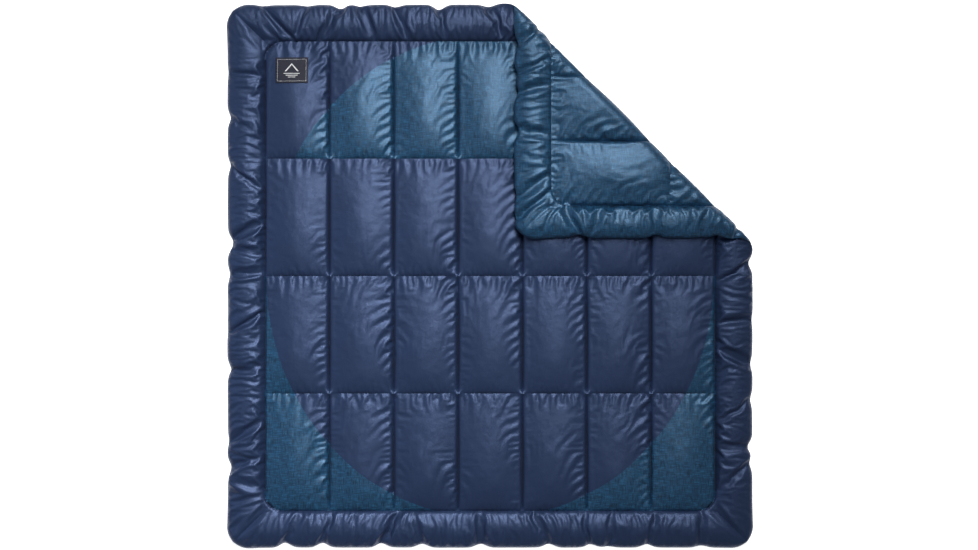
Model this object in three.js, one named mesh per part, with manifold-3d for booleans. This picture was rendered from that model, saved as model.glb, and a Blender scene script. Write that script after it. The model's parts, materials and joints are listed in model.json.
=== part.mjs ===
// Two-person camp quilt, sewn through into a grid of filled chambers inside a filled border.
// Millimetres. +X is the quilt's right, +Y its head end, +Z its face. The back lies on z = 0.
// One corner of the head end is turned back over the face about a diagonal fold.
import * as THREE from 'three';
import { mergeVertices } from 'three/addons/utils/BufferGeometryUtils.js';
import Module from 'manifold-3d';

const wasm = await Module();
wasm.setup();

// Plan
const quiltWidth = 1960;
const quiltLength = 2030;
const borderWidth = 138;
const columns = 7;
const rows = 4;
const outerCornerRadius = 85;
const panelCornerRadius = 55;
// The fold runs at 45 degrees and meets the head edge this far right of the centre line
const foldOnHeadEdge = 89;
// The colour block is an ellipse about the middle of the panel
const blockRadiusX = 834;
const blockRadiusY = 903;

// Section
const fabricThickness = 0.6;
const loft = 40;
const seamHeight = 3.5;
const hemHeight = 1.5;
const gap = 0.3;
const fillInset = 5;
const crownPower = 0.7;
const crownPowerAlong = 0.32;

// Trim
const labelWidth = 122;
const labelHeight = 96;
const labelFromPanelLeft = 103;
const labelFromPanelTop = 110;
const labelThickness = 0.5;
const labelCornerRadius = 4;
const threadWidth = 0.8;
const threadHeight = 0.6;
const threadAboveSeam = 1.5;

// Worked out from the above
const halfWidth = quiltWidth / 2;
const halfLength = quiltLength / 2;
const panelHalfX = halfWidth - borderWidth;
const panelHalfY = halfLength - borderWidth;
const columnPitch = (2 * panelHalfX) / columns;
const rowPitch = (2 * panelHalfY) / rows;
const foldSum = halfLength + foldOnHeadEdge;
const foldAxisHeight = loft + gap / 2;
const halfGap = gap / 2;
const fillFloor = fabricThickness + gap;
const farOut = 1.2 * quiltLength;
const cutDepth = 4 * loft;
const cornerSegments = 3;
const blockSegments = 24;

const navyTaffeta = new THREE.MeshStandardMaterial({ color: 0x2f3b5c, roughness: 0.45, metalness: 0 });
const tealHeather = new THREE.MeshStandardMaterial({ color: 0x2f5f80, roughness: 0.55, metalness: 0 });
const fillWhite = new THREE.MeshStandardMaterial({ color: 0xe9e6de, roughness: 0.95, metalness: 0 });
const labelCharcoal = new THREE.MeshStandardMaterial({ color: 0x1c222b, roughness: 0.7, metalness: 0 });
const threadNavy = new THREE.MeshStandardMaterial({ color: 0x222b45, roughness: 0.6, metalness: 0 });

// Solids

function solidFrom(geometry) {
  geometry.deleteAttribute('normal');
  geometry.deleteAttribute('uv');
  const merged = mergeVertices(geometry, 1e-4);
  const mesh = new wasm.Mesh({
    numProp: 3,
    vertProperties: new Float32Array(merged.attributes.position.array),
    triVerts: new Uint32Array(merged.index.array),
  });
  return new wasm.Manifold(mesh);
}

function geometryFrom(solid) {
  const mesh = solid.getMesh();
  const geometry = new THREE.BufferGeometry();
  geometry.setAttribute('position', new THREE.BufferAttribute(mesh.vertProperties, mesh.numProp));
  geometry.setIndex(new THREE.BufferAttribute(mesh.triVerts, 1));
  geometry.computeVertexNormals();
  return geometry;
}

// An upright prism through the whole thickness, used to cut with
function prism(shape, curveSegments = cornerSegments) {
  const geometry = new THREE.ExtrudeGeometry(shape, { depth: cutDepth, bevelEnabled: false, curveSegments });
  geometry.translate(0, 0, -cutDepth / 2);
  return solidFrom(geometry);
}

// A closed slab over the kept cells of a grid, between two heights given as functions of x and y
function slab(xs, ys, lowerHeight, upperHeight, keepCell = () => true) {
  const positions = [];
  const triangles = [];
  const layerSize = xs.length * ys.length;
  for (const height of [lowerHeight, upperHeight]) {
    for (const y of ys) {
      for (const x of xs) {
        positions.push(x, y, height(x, y));
      }
    }
  }
  const at = (layer, i, j) => layer * layerSize + j * xs.length + i;
  const quad = (a, b, c, d) => triangles.push(a, b, c, a, c, d);
  const inGrid = (i, j) => i >= 0 && j >= 0 && i < xs.length - 1 && j < ys.length - 1;
  const kept = (i, j) => inGrid(i, j) && keepCell(i, j);
  for (let j = 0; j < ys.length - 1; j += 1) {
    for (let i = 0; i < xs.length - 1; i += 1) {
      if (!kept(i, j)) {
        continue;
      }
      quad(at(1, i, j), at(1, i + 1, j), at(1, i + 1, j + 1), at(1, i, j + 1));
      // wound the other way round, and split along the same diagonal as the face above it
      triangles.push(at(0, i, j), at(0, i + 1, j + 1), at(0, i + 1, j));
      triangles.push(at(0, i, j), at(0, i, j + 1), at(0, i + 1, j + 1));
      if (!kept(i, j - 1)) {
        quad(at(0, i, j), at(0, i + 1, j), at(1, i + 1, j), at(1, i, j));
      }
      if (!kept(i, j + 1)) {
        quad(at(0, i + 1, j + 1), at(0, i, j + 1), at(1, i, j + 1), at(1, i + 1, j + 1));
      }
      if (!kept(i - 1, j)) {
        quad(at(0, i, j + 1), at(0, i, j), at(1, i, j), at(1, i, j + 1));
      }
      if (!kept(i + 1, j)) {
        quad(at(0, i + 1, j), at(0, i + 1, j + 1), at(1, i + 1, j + 1), at(1, i + 1, j));
      }
    }
  }
  const geometry = new THREE.BufferGeometry();
  geometry.setAttribute('position', new THREE.Float32BufferAttribute(positions, 3));
  geometry.setIndex(triangles);
  return solidFrom(geometry);
}

// Outlines

function polygon(points) {
  return new THREE.Shape(points.map(([x, y]) => new THREE.Vector2(x, y)));
}

function rectangle(lowX, lowY, highX, highY) {
  return polygon([[lowX, lowY], [highX, lowY], [highX, highY], [lowX, highY]]);
}

function roundedRectangle(halfX, halfY, radius) {
  const shape = new THREE.Shape();
  const quarter = Math.PI / 2;
  shape.absarc(halfX - radius, halfY - radius, radius, 0, quarter);
  shape.absarc(radius - halfX, halfY - radius, radius, quarter, 2 * quarter);
  shape.absarc(radius - halfX, radius - halfY, radius, 2 * quarter, 3 * quarter);
  shape.absarc(halfX - radius, radius - halfY, radius, 3 * quarter, 4 * quarter);
  return shape;
}

function colourBlock(grow) {
  const shape = new THREE.Shape();
  shape.absellipse(0, 0, blockRadiusX + grow, blockRadiusY + grow, 0, 2 * Math.PI);
  return shape;
}

function rowBand(lowRow, highRow) {
  const lowY = panelHalfY - highRow * rowPitch + halfGap;
  const highY = panelHalfY - lowRow * rowPitch - halfGap;
  return rectangle(-farOut, lowY, farOut, highY);
}

// One of the border's four mitred sides: 0 head, 1 left, 2 foot, 3 right
function borderSide(turns) {
  const along = turns % 2 === 0 ? panelHalfX : panelHalfY;
  const across = turns % 2 === 0 ? panelHalfY : panelHalfX;
  const inner = -2 * panelCornerRadius;
  const outer = 2 * borderWidth;
  const mitre = Math.SQRT2 * halfGap;
  const points = [
    [-along - inner + mitre, across + inner],
    [along + inner - mitre, across + inner],
    [along + outer - mitre, across + outer],
    [-along - outer + mitre, across + outer],
  ];
  const turned = points.map(([x, y]) => {
    const angle = (turns * Math.PI) / 2;
    return [x * Math.cos(angle) - y * Math.sin(angle), x * Math.sin(angle) + y * Math.cos(angle)];
  });
  return polygon(turned);
}

const foldOffset = Math.SQRT2 * halfGap;
const mainSide = prism(polygon([
  [-farOut, -farOut],
  [foldSum - foldOffset + farOut, -farOut],
  [-farOut, foldSum - foldOffset + farOut],
]));
const cornerSide = prism(polygon([
  [foldSum + foldOffset + farOut, -farOut],
  [farOut * 2, farOut * 2],
  [-farOut, foldSum + foldOffset + farOut],
]));
const quiltOutline = prism(roundedRectangle(halfWidth, halfLength, outerCornerRadius));
const panelFace = prism(roundedRectangle(panelHalfX - halfGap, panelHalfY - halfGap, panelCornerRadius));
const panelHole = prism(roundedRectangle(panelHalfX + halfGap, panelHalfY + halfGap, panelCornerRadius));
const insideBlock = prism(colourBlock(-halfGap), blockSegments);
const blockHole = prism(colourBlock(halfGap), blockSegments);

// Height of the face's upper surface

function crown(t) {
  return Math.max(0, Math.sin(Math.PI * t)) ** crownPower;
}

function crownAlong(t) {
  return Math.max(0, Math.sin(Math.PI * t)) ** crownPowerAlong;
}

function panelHeight(x, y) {
  const acrossCell = ((x + panelHalfX) / columnPitch) % 1;
  const alongCell = ((y + panelHalfY) / rowPitch) % 1;
  return seamHeight + (loft - seamHeight) * crown(acrossCell) * crownAlong(alongCell);
}

// How far a point lies outside a rounded rectangle; negative inside
function outsideBy(x, y, halfX, halfY, radius) {
  const dx = Math.abs(x) - halfX + radius;
  const dy = Math.abs(y) - halfY + radius;
  return Math.min(Math.max(dx, dy), 0) + Math.hypot(Math.max(dx, 0), Math.max(dy, 0)) - radius;
}

function borderHeight(x, y) {
  const fromPanel = Math.max(0, outsideBy(x, y, panelHalfX, panelHalfY, panelCornerRadius));
  const fromEdge = Math.max(0, -outsideBy(x, y, halfWidth, halfLength, outerCornerRadius));
  const across = fromPanel / Math.max(fromPanel + fromEdge, 1);
  const base = seamHeight + (hemHeight - seamHeight) * across;
  return base + (loft - base) * crown(across);
}

// Grid lines: close to each seam, at each shoulder and on each crown

function chamberLines(count, pitch, start, shoulder) {
  const lines = [];
  for (let k = 0; k < count; k += 1) {
    const offsets = [0, fillInset, shoulder * pitch, pitch / 2, (1 - shoulder) * pitch, pitch - fillInset];
    lines.push(...offsets.map((offset) => start + k * pitch + offset));
  }
  lines.push(start + count * pitch);
  return lines;
}

const panelXs = chamberLines(columns, columnPitch, -panelHalfX, 0.2);
const panelYs = chamberLines(rows, rowPitch, -panelHalfY, 0.15);

// From inside the panel's rounded corner out to the quilt's edge
const borderAcross = [-2 * panelCornerRadius, 0, fillInset, 0.25, 0.5, 0.75].map(
  (offset, index) => (index < 3 ? offset : offset * borderWidth),
);
borderAcross.push(borderWidth - fillInset, borderWidth);
const cornerAlong = [-panelCornerRadius, 0, borderWidth / 3, (2 * borderWidth) / 3, borderWidth];

function borderGrid(turns) {
  const along = turns % 2 === 0 ? panelHalfX : panelHalfY;
  const across = turns % 2 === 0 ? panelHalfY : panelHalfX;
  const outward = borderAcross.map((offset) => across + offset);
  const lengthwise = cornerAlong.map((offset) => along + offset);
  const mirrored = (lines) => lines.map((line) => -line).reverse();
  const alongLines = [...mirrored(lengthwise), ...lengthwise];
  const acrossLines = turns === 0 || turns === 3 ? outward : mirrored(outward);
  return turns % 2 === 0 ? { xs: alongLines, ys: acrossLines } : { xs: acrossLines, ys: alongLines };
}

// Layers that share one grid, so they stay parallel

function faceLayer(grid, height) {
  return slab(grid.xs, grid.ys, (x, y) => height(x, y) - fabricThickness, height);
}

function fillLayer(grid, height) {
  return slab(grid.xs, grid.ys, () => fillFloor, (x, y) => height(x, y) - fabricThickness - gap);
}

// Assembly

const quilt = new THREE.Group();
const foldAxis = new THREE.Vector3(-1, 1, 0).normalize();
const foldPoint = new THREE.Vector3(foldSum / 2, foldSum / 2, foldAxisHeight);
const turnedCorner = new THREE.Group();
turnedCorner.position.copy(foldPoint);
turnedCorner.quaternion.setFromAxisAngle(foldAxis, Math.PI);
quilt.add(turnedCorner);
// Corner pieces are made where they lie when the quilt is spread flat
const spreadCorner = new THREE.Group();
spreadCorner.position.copy(foldPoint).negate();
turnedCorner.add(spreadCorner);

function addPiece(parent, name, solid, material) {
  const mesh = new THREE.Mesh(geometryFrom(solid), material);
  mesh.name = name;
  parent.add(mesh);
}

function addToMain(name, solid, material) {
  addPiece(quilt, name, solid.intersect(mainSide), material);
}

function addToCorner(name, solid, material) {
  addPiece(spreadCorner, name, solid.intersect(cornerSide), material);
}

function addToBoth(name, solid, material) {
  addToMain(name, solid, material);
  addToCorner(`${name}_corner`, solid, material);
}

// Fill of the chambers, row 1 at the head, column 1 at the left
const fillCut = prism(
  roundedRectangle(panelHalfX - fillInset, panelHalfY - fillInset, panelCornerRadius),
);
for (let row = 0; row < rows; row += 1) {
  for (let column = 0; column < columns; column += 1) {
    const lowX = -panelHalfX + column * columnPitch;
    const highY = panelHalfY - row * rowPitch;
    const lowY = highY - rowPitch;
    const inCell = (line, low, pitch) => line > low + halfGap && line < low + pitch - halfGap;
    const grid = {
      xs: panelXs.filter((line) => inCell(line, lowX, columnPitch)),
      ys: panelYs.filter((line) => inCell(line, lowY, rowPitch)),
    };
    const fill = fillLayer(grid, panelHeight).intersect(fillCut);
    const name = `fill_row${row + 1}_col${column + 1}`;
    const highSum = lowX + columnPitch + highY;
    const lowSum = lowX + lowY;
    if (highSum < foldSum) {
      addToMain(name, fill, fillWhite);
    } else if (lowSum > foldSum) {
      addToCorner(name, fill, fillWhite);
    } else {
      addToBoth(name, fill, fillWhite);
    }
  }
}

// Border: fill and face strip of each side
const borderFillHole = prism(
  roundedRectangle(panelHalfX + fillInset, panelHalfY + fillInset, panelCornerRadius),
);
const borderFillOutline = prism(
  roundedRectangle(halfWidth - fillInset, halfLength - fillInset, outerCornerRadius - fillInset),
);
['head', 'left', 'foot', 'right'].forEach((side, turns) => {
  const grid = borderGrid(turns);
  const mitred = prism(borderSide(turns));
  const wholeFill = fillLayer(grid, borderHeight).intersect(mitred);
  const wholeStrip = faceLayer(grid, borderHeight).intersect(mitred);
  const fill = wholeFill.intersect(borderFillOutline).subtract(borderFillHole);
  const strip = wholeStrip.intersect(quiltOutline).subtract(panelHole);
  const crossesFold = side === 'head' || side === 'right';
  const add = crossesFold ? addToBoth : addToMain;
  add(`border_fill_${side}`, fill, fillWhite);
  add(`border_strip_${side}`, strip, navyTaffeta);
});

// Face panel, pieced from navy and teal along the colour block's outline
const leftHalf = prism(rectangle(-farOut, -farOut, 0, farOut));
const rightHalf = prism(rectangle(0, -farOut, farOut, farOut));
const outsideBlockBelowMiddle = prism(rectangle(-farOut, -farOut, farOut, halfGap)).subtract(insideBlock);
const face = faceLayer({ xs: panelXs, ys: panelYs }, panelHeight).intersect(panelFace);
const firstRow = face.intersect(prism(rowBand(0, 1)));
const secondRow = face.intersect(prism(rowBand(1, 2)));
const navyBody = face.intersect(prism(rowBand(1, rows))).subtract(outsideBlockBelowMiddle);
const tealFoot = face.intersect(prism(rowBand(2, rows))).subtract(blockHole);
const headOutside = firstRow.subtract(blockHole);
// Beside the fold the block's outline leaves a sliver too small to piece, so the main cap runs on over it
addToMain('face_teal_cap', firstRow.intersect(insideBlock.add(rightHalf)), tealHeather);
addToCorner('face_teal_cap_corner', firstRow.intersect(insideBlock), tealHeather);
addToMain('face_navy_head_left', headOutside.intersect(leftHalf), navyTaffeta);
addToCorner('face_navy_head_right_corner', headOutside.intersect(rightHalf), navyTaffeta);
addToMain('face_navy_body', navyBody, navyTaffeta);
addToCorner('face_navy_body_corner', secondRow, navyTaffeta);
addToMain('face_teal_foot_left', tealFoot.intersect(leftHalf), tealHeather);
addToMain('face_teal_foot_right', tealFoot.intersect(rightHalf), tealHeather);

// Back, one flat sheet under everything
const backSheet = slab([-halfWidth, halfWidth], [-halfLength, halfLength], () => 0, () => fabricThickness);
addToBoth('back_panel', backSheet.intersect(quiltOutline), tealHeather);

// Quilting thread, lying in the valleys of the seams: a lattice of straight runs that cross.
// The runs round the panel stop short of its rounded corners.
function threadLines(count, pitch, halfSpan) {
  const endOfRun = halfSpan - 2 * panelCornerRadius;
  const centres = Array.from({ length: count + 1 }, (_, k) => k * pitch - halfSpan);
  const edges = centres.flatMap((centre) => [centre - threadWidth / 2, centre + threadWidth / 2]);
  edges.push(-endOfRun, endOfRun);
  return edges.sort((a, b) => a - b);
}

const threadXs = threadLines(columns, columnPitch, panelHalfX);
const threadYs = threadLines(rows, rowPitch, panelHalfY);
const isThreadWide = (lines, k) => lines[k + 1] - lines[k] < 2 * threadWidth;
const inCorner = (lines, k) => k < 2 || k > lines.length - 4;
const onRun = (i, j) => isThreadWide(threadXs, i) || isThreadWide(threadYs, j);
const threadBottom = seamHeight + threadAboveSeam;
const thread = slab(
  threadXs,
  threadYs,
  () => threadBottom,
  () => threadBottom + threadHeight,
  (i, j) => onRun(i, j) && !(inCorner(threadXs, i) && inCorner(threadYs, j)),
);
// On the corner the runs along the head and along the right side don't meet
const headEnd = prism(rectangle(-farOut, 1.05 * rowPitch, panelHalfX - columnPitch / 4, farOut));
addToMain('seam_thread', thread, threadNavy);
addToCorner('seam_thread_head_corner', thread.intersect(headEnd), threadNavy);
addToCorner('seam_thread_right_corner', thread.subtract(headEnd), threadNavy);

// Woven label on the first chamber, laid over the face fabric
const labelX = -panelHalfX + labelFromPanelLeft;
const labelY = panelHalfY - labelFromPanelTop;
const labelShape = roundedRectangle(labelWidth / 2, labelHeight / 2, labelCornerRadius);
const labelCut = prism(labelShape).translate([labelX, labelY, 0]);
const labelLayer = slab(
  panelXs,
  panelYs,
  (x, y) => panelHeight(x, y) + gap,
  (x, y) => panelHeight(x, y) + gap + labelThickness,
);
addToMain('woven_label', labelLayer.intersect(labelCut), labelCharcoal);

export default quilt;
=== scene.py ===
import json
import math
import time

import bpy
import numpy as np
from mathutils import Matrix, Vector


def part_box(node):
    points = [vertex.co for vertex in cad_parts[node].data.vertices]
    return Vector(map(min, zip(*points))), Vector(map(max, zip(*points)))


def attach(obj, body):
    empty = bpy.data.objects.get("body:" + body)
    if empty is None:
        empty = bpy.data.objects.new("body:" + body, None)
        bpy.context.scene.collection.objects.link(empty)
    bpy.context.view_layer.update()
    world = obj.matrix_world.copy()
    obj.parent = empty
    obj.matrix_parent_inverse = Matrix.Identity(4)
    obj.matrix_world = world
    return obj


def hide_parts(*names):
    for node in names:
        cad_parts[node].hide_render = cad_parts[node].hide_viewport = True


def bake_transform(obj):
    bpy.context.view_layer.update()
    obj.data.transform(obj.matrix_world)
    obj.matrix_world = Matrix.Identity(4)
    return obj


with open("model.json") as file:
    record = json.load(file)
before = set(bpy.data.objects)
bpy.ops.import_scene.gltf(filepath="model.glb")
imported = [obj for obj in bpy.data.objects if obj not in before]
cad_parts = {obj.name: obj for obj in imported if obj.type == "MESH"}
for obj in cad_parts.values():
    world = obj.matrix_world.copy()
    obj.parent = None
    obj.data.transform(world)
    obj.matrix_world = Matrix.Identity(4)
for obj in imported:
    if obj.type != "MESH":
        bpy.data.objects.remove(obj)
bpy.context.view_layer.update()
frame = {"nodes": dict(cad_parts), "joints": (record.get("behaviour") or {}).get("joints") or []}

started = time.time()


def report(text):
    print(f"[quilt {time.time() - started:5.1f} s] {text}", flush=True)


outerX = -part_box("back_panel")[0].x
outerY = -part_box("back_panel")[0].y
panelX = -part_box("face_navy_body")[0].x  # half the width inside the border
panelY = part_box("face_teal_cap")[1].y
borderWidth = outerX - panelX
hinge = frame["joints"][0]["pos_m"]
foldSum = hinge[0] + hinge[1]  # x + y along the fold
foldHeight = hinge[2]

quilt = {
    "columns": 7,
    "rows": 4,
    "panelRound": 0.070,  # radius of the seam round the panel at its corners
    "outerRound": 0.085,
    "blockX": 0.834,  # the colour block's ellipse, from its middle
    "blockY": 0.903,
}
columnPitch, rowPitch = 2 * panelX / quilt["columns"], 2 * panelY / quilt["rows"]

cameraPlan = {
    "sensor": 36,  # millimetres
    "height": 6.0,
    "seenWidth": 3.636,  # metres across the picture at the quilt's middle height
    "middle": (-0.004, 0.004),
}


def addObject(name, data):
    added = bpy.data.objects.new(name, data)
    bpy.context.scene.collection.objects.link(added)
    return added


def makeCamera(plan):
    data = bpy.data.cameras.new("camera")
    data.sensor_width = plan["sensor"]
    data.lens = data.sensor_width * plan["height"] / plan["seenWidth"]
    camera = addObject("camera", data)
    camera.location = (*plan["middle"], plan["height"] + foldHeight)
    bpy.context.scene.camera = camera


makeCamera(cameraPlan)

# Two layers of cloth are longer than the space they're sewn into. The thread holds them along
# the seams, the fill pushes them apart, and the spare length becomes the puckers.
cloth = {
    "seed": 11,
    "cellsPerColumn": 24,  # at the coarse level; the fine one has twice as many
    "cellsPerRow": 44,
    "cellsInBorder": 14,
    "steps": (160, 150),  # coarse, then fine
    "startSizes": (0.024, 0.013),  # metres across the wrinkles that each level starts with
    "startHeights": (0.0003, 0.0002),
    # the fill
    "loft": 0.0385,
    "crownLoft": 0.0365,  # the most that the two layers stand apart
    "crownAcross": 1.1,  # powers of the sine that shapes a chamber
    "crownAlong": 0.48,
    "crownShift": 1.65,  # the fill lies a little towards the foot of each chamber
    "crownTube": 0.7,
    "pastCorner": 0.35,  # share of the loft between the rounded seam and the panel's square corner
    "mitreDip": 0.22,  # share of the loft lost where two borders meet
    "mitreWidth": 0.008,
    "lumpSizes": (0.075, 0.032),  # metres across the fill's large and small lumps
    "smallShare": 0.5,  # the small ones' height as a share of the large ones'
    "lumps": 0.022,  # and the large ones' as a share of the loft
    "lumpsTurned": 1.5,  # times as much again on the turned corner
    "lumpsBorder": 3.5,
    "lumpLimits": (0.8, 1.05),
    "push": 0.0004,  # how far the fill moves the cloth in a step
    "pushRange": 0.10,  # share of the loft over which the push grows to that
    "drawBack": -0.6,  # the most that the cloth is moved back, as a share of the push
    # the seams
    "seamHeight": 0.010,  # above the floor where the quilt lies on its back
    "foldReach": 0.08,  # half the width over which the full side changes at the fold
    "wallAcross": 0.28,  # how much of a chamber's height rises in a steep wall beside the seam
    "wallTube": 0.30,
    "wallWidth": 0.0040,
    "wallReach": 0.011,  # the cloth folds freely this close to a seam
    "wallLean": 0.40,  # how far the walls lean over the seams that run head to foot
    "leanWidth": 0.014,
    "columnSink": 0.009,  # those seams sink away from the full side
    "sinkWidth": 0.006,
    "sinkPower": 0.4,
    "rowLift": 0.006,  # and the ones across are lifted towards it
    "liftPower": 0.6,
    "tuft": 0.011,  # the pinch of cloth where seams cross
    "tuftWidth": 0.010,
    # the spare length
    "varySizes": (0.085, 0.095),  # metres over which it varies, across and along
    "varyLimits": ((1, 0.6, 0.1, 2.4), (0.75, 0.9, 0, 2.2)),  # mean, spread, least and most of it
    "gatherSide": 0.052,  # along the seams that run head to foot
    "sideReach": 0.036,
    "rightFrom": 0.35,  # across a chamber, where its right side begins to show
    "rightOver": 0.3,
    "puckerSlant": 35,  # degrees, rising to the seam on a chamber's right
    "leftShare": 0.15,  # how much of it is on a chamber's left
    "gatherEnd": 0.050,  # and along those that run across
    "endReach": 0.024,
    "headFoot": (1.5, 0.8),  # times that reach at a chamber's head and at its foot
    "gatherTube": 0.030,  # and along the border
    "cornerPull": 0.018,  # how far the turned corner's right side is drawn in
    "cornerReach": 0.12,
    # the deep creases across the border
    "tuckFirst": (0.03, 0.15),  # metres from the end of a side to its first one
    "tuckEvery": (0.07, 0.24),
    "tuckSlant": (-0.8, 0.8),
    "tuckWidth": (0.008, 0.020),
    "tuckPull": (0.002, 0.018),
    "tuckDepth": (0.15, 0.65),
    "tuckPullReach": 0.026,
    "tuckGather": 0.05,
    "tuckGatherReach": 0.03,
    # the cloth's own stiffness, each a share of the error put right in a step
    "keepSpeed": 0.90,
    "bendShare": 0.97,
    "bendStiffness": 0.40,
    "shearStiffness": 0.25,
    "holdPlan": 0.25,
    "holdHeight": 0.20,
}


def smooth(t):
    t = np.clip(t, 0, 1)
    return t * t * (3 - 2 * t)


def fading(away, reach):
    # 1 at no distance, falling to nothing over about twice the reach
    return np.exp(-(away / reach) ** 2)


def noiseField(rng, scale):
    # random bumps of about unit size, scale metres across, on a lattice a little past each edge
    lattice = rng.normal(0, 1, (int(2 * outerY / scale) + 6, int(2 * outerX / scale) + 6))

    def at(x, y):
        across, along = (x + outerX) / scale + 1.5, (y + outerY) / scale + 1.5
        i, j = np.floor(across).astype(int), np.floor(along).astype(int)
        u, v = smooth(across - i), smooth(along - j)
        low = lattice[j, i] * (1 - u) + lattice[j, i + 1] * u
        high = lattice[j + 1, i] * (1 - u) + lattice[j + 1, i + 1] * u
        return low * (1 - v) + high * v

    return at


def gridLines(count, half, perCell, inBorder):
    inner = np.linspace(-half, half, count * perCell + 1)
    outer = half + np.linspace(0, borderWidth, inBorder + 1)[1:]
    return np.concatenate([-outer[::-1], inner, outer])


def roundCorners(x, y, radius):
    # moves the points of each square outer corner onto a round one
    u = (np.abs(x) - (outerX - radius)) / radius
    v = (np.abs(y) - (outerY - radius)) / radius
    inside = (u > 0) & (v > 0)
    a, b = np.clip(u, 0, 1), np.clip(v, 0, 1)
    roundX = outerX - radius + a * np.sqrt(1 - b * b / 2) * radius
    roundY = outerY - radius + b * np.sqrt(1 - a * a / 2) * radius
    return np.where(inside, np.sign(x) * roundX, x), np.where(inside, np.sign(y) * roundY, y)


def makeFields(c):
    rng = np.random.default_rng(c["seed"])
    fields = {
        "lumps": [noiseField(rng, size) for size in c["lumpSizes"]],
        "vary": [noiseField(rng, size) for size in c["varySizes"]],
        "start": [[noiseField(rng, size) for layer in range(2)] for size in c["startSizes"]],
        "tucks": [],
    }
    for side, half in enumerate((panelY, panelY, panelX, panelX)):  # left, right, foot, head
        at = -half + rng.uniform(*c["tuckFirst"])
        while at < half:
            fields["tucks"].append({
                "side": side,
                "at": at,
                "slant": rng.uniform(*c["tuckSlant"]),
                "width": rng.uniform(*c["tuckWidth"]),
                "pull": rng.uniform(*c["tuckPull"]),
                "depth": rng.uniform(*c["tuckDepth"]),
            })
            at += rng.uniform(*c["tuckEvery"])
    return fields


def foldSide(x, y, reach):
    # 0 on the part that lies on its back, 1 on the turned corner
    return smooth(((x + y - foldSum) / math.sqrt(2) + reach) / (2 * reach))


def groundUnder(x, y, c):
    side = foldSide(x, y, c["foldReach"])
    return -(c["seamHeight"] + side * (c["loft"] - 2 * c["seamHeight"]))


arcShare = 0.62  # of a cell: points this near to the rounded seam are on it, so that it has no gaps


class Grid:
    # one layer's grid of points on the flat cut, and where each point is in the quilt
    def __init__(self, level, c):
        column, row, border = (level * c[k] for k in ("cellsPerColumn", "cellsPerRow", "cellsInBorder"))
        self.column, self.row, self.border = column, row, border
        self.xs = gridLines(quilt["columns"], panelX, column, border)
        self.ys = gridLines(quilt["rows"], panelY, row, border)
        self.X, self.Y = np.meshgrid(self.xs, self.ys)
        self.ny, self.nx = ny, nx = self.X.shape
        i, j = np.meshgrid(np.arange(nx), np.arange(ny))
        self.inPanel = (i >= border) & (i < nx - border) & (j >= border) & (j < ny - border)
        self.outX, self.outY = np.abs(self.X) - panelX, np.abs(self.Y) - panelY
        self.sideStrip = self.outX > self.outY
        self.across = np.clip(np.maximum(self.outX, self.outY) / borderWidth, 0, 1)
        self.findSeams(i, j)
        self.unitX = (self.X + panelX) / columnPitch % 1  # across and along the chamber
        self.unitY = (self.Y + panelY) / rowPitch % 1
        self.fromColumn = np.abs((self.unitX + 0.5) % 1 - 0.5) * columnPitch
        self.fromRow = np.abs((self.unitY + 0.5) % 1 - 0.5) * rowPitch
        self.fromTube = np.minimum(self.across, 1 - self.across) * borderWidth
        self.side = foldSide(self.X, self.Y, c["foldReach"])

    def findSeams(self, i, j):
        # the points that the thread holds, and the plan with its corners made round
        planX, planY = roundCorners(self.X, self.Y, quilt["outerRound"])
        radius = quilt["panelRound"]
        fromX, fromY = self.outX + radius, self.outY + radius
        cornerZone = (fromX > 0) & (fromY > 0) & self.inPanel
        reach = np.hypot(fromX, fromY)
        cell = columnPitch / self.column
        self.arc = cornerZone & (np.abs(reach - radius) < arcShare * cell)
        safe = np.maximum(reach, 1e-6)  # no division by nothing
        arcX, arcY = panelX - radius + fromX * radius / safe, panelY - radius + fromY * radius / safe
        self.planX = np.where(self.arc, np.sign(self.X) * arcX, planX)
        self.planY = np.where(self.arc, np.sign(self.Y) * arcY, planY)
        self.beyond = cornerZone & (reach > radius)
        self.inChambers = self.inPanel & ~self.beyond
        self.columnSeam = ((i - self.border) % self.column == 0) & self.inChambers
        rowSeam = ((j - self.border) % self.row == 0) & self.inChambers
        self.seam = self.columnSeam | rowSeam | self.arc
        self.hem = (i == 0) | (j == 0) | (i == self.nx - 1) | (j == self.ny - 1)
        self.share = self.seam | self.hem


def crown(unit, power, away, share, c):
    wall = 1 - np.exp(-away / c["wallWidth"])
    return (1 - share) * np.sin(np.pi * unit) ** power + share * wall


def wantedLoft(grid, fullAlong, fields, c):
    # how far apart the fill wants to push the two layers
    chamber = crown(grid.unitX, c["crownAcross"], grid.fromColumn, c["wallAcross"], c) * fullAlong
    tube = crown(grid.across, c["crownTube"], grid.fromTube, c["wallTube"], c)
    rough = c["lumps"] * np.where(grid.inPanel, 1 + c["lumpsTurned"] * grid.side, c["lumpsBorder"])
    large, small = (field(grid.X, grid.Y) for field in fields["lumps"])
    lumps = np.clip(1 + rough * (large + c["smallShare"] * small), *c["lumpLimits"])
    border = np.maximum(tube, np.where(grid.beyond, c["pastCorner"], 0))
    want = np.where(grid.inChambers, chamber, border) * c["crownLoft"] * lumps
    mitre = np.abs(grid.outX - grid.outY) * np.where(grid.inPanel, 1e3, 1)  # far off in the panel
    return want * (1 - c["mitreDip"] * fading(mitre, c["mitreWidth"]))


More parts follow.
